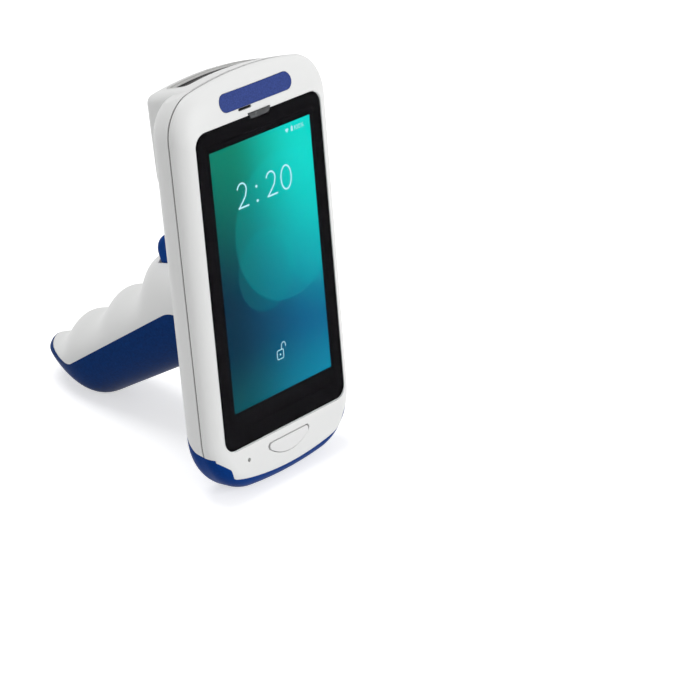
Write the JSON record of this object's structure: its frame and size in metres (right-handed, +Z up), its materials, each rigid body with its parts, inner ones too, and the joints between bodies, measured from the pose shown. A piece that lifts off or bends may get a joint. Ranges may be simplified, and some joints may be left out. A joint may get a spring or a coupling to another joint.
{
  "type": "pistol-grip barcode data terminal",
  "caption": "Handheld data terminal with a touch display, a scan window in its raised head, a scan key below the display and a pistol grip with a trigger.",
  "frame": {"origin": "middle of the part's footprint, on the surface it stands on", "axes": "+X to the right as seen from the display's side, +Y from the display towards the grip's butt, +Z up; it stands on the bumper and the butt of the grip, with the display leaning back"},
  "size_m": [0.0802, 0.1162, 0.1482],
  "materials": {
    "white_plastic": "bright white satin moulding, fine spark texture",
    "white_key": "white satin key cap",
    "grey_rubber": "dark grey soft seal",
    "blue_bumper": "royal blue satin elastomer",
    "blue_grip": "royal blue plastic with fine texture",
    "trigger_blue": "royal blue satin plastic",
    "badge_blue": "bare muted blue plate",
    "clear_glass": "polished cover glass",
    "black_ink": "black border film",
    "screen": "lit colour display, emissive",
    "grey_lens": "grey translucent light pipe",
    "pressed_steel": "thin pressed sheet",
    "black_plastic": "black moulding",
    "circuit_board": "green laminate",
    "flex_film": "amber film",
    "window_glass": "dark red-black scan filter",
    "grey_metal": "silver grey frame",
    "battery_wrap": "dark wrapped cell pack",
    "copper": "enamelled winding",
    "ferrite": "ferrite sheet",
    "screw_steel": "dark steel"
  },
  "bodies": {
    "terminal": {"front_shell": "white_plastic", "rear_shell": "white_plastic", "seam_gasket": "grey_rubber", "bumper": "blue_bumper", "cover_glass": "clear_glass", "glass_tape": "black_ink", "display_panel": "screen", "display_frame": "pressed_steel", "badge_plate": "badge_blue", "status_lens": "grey_lens", "speaker_mesh": "pressed_steel", "earpiece_speaker": "black_plastic", "key_board": "circuit_board", "key_switch": "pressed_steel", "microphone": "grey_rubber", "main_board": "circuit_board", "board_shields": "pressed_steel", "display_flex": "flex_film", "scan_window": "window_glass", "window_bezel": "grey_metal", "scan_engine": "black_plastic", "engine_bracket": "pressed_steel", "battery_pack": "battery_wrap", "battery_contacts": "black_plastic", "charging_coil": "copper", "coil_ferrite": "ferrite", "antenna": "flex_film", "vibration_motor": "pressed_steel", "shell_screws": "screw_steel", "grip_base": "white_plastic", "grip_front_shell": "white_plastic", "grip_palm_shell": "blue_grip", "base_screws": "screw_steel", "mount_screws": "screw_steel", "handle_screws": "screw_steel", "trigger_pin": "screw_steel", "trigger_spring": "screw_steel", "trigger_board": "circuit_board", "trigger_switch": "black_plastic"},
    "trigger": {"trigger": "trigger_blue"},
    "scan_key": {"scan_key": "white_key"}
  },
  "joints": [
    {"name": "trigger_pull", "type": "hinge", "parent": "terminal", "child": "trigger", "pos_m": [0, -0.01427, 0.07839], "axis": [-1, 0, 0], "range_deg": [0, 7], "stiffness_Nm_per_rad": 0.4, "springref_deg": -5.73},
    {"name": "scan_key_press", "type": "slide", "parent": "terminal", "child": "scan_key", "axis": [0, 0.9773, -0.2119], "range_m": [0, 0.0005], "stiffness_N_per_m": 4000, "springref_m": -0.0003}
  ]
}
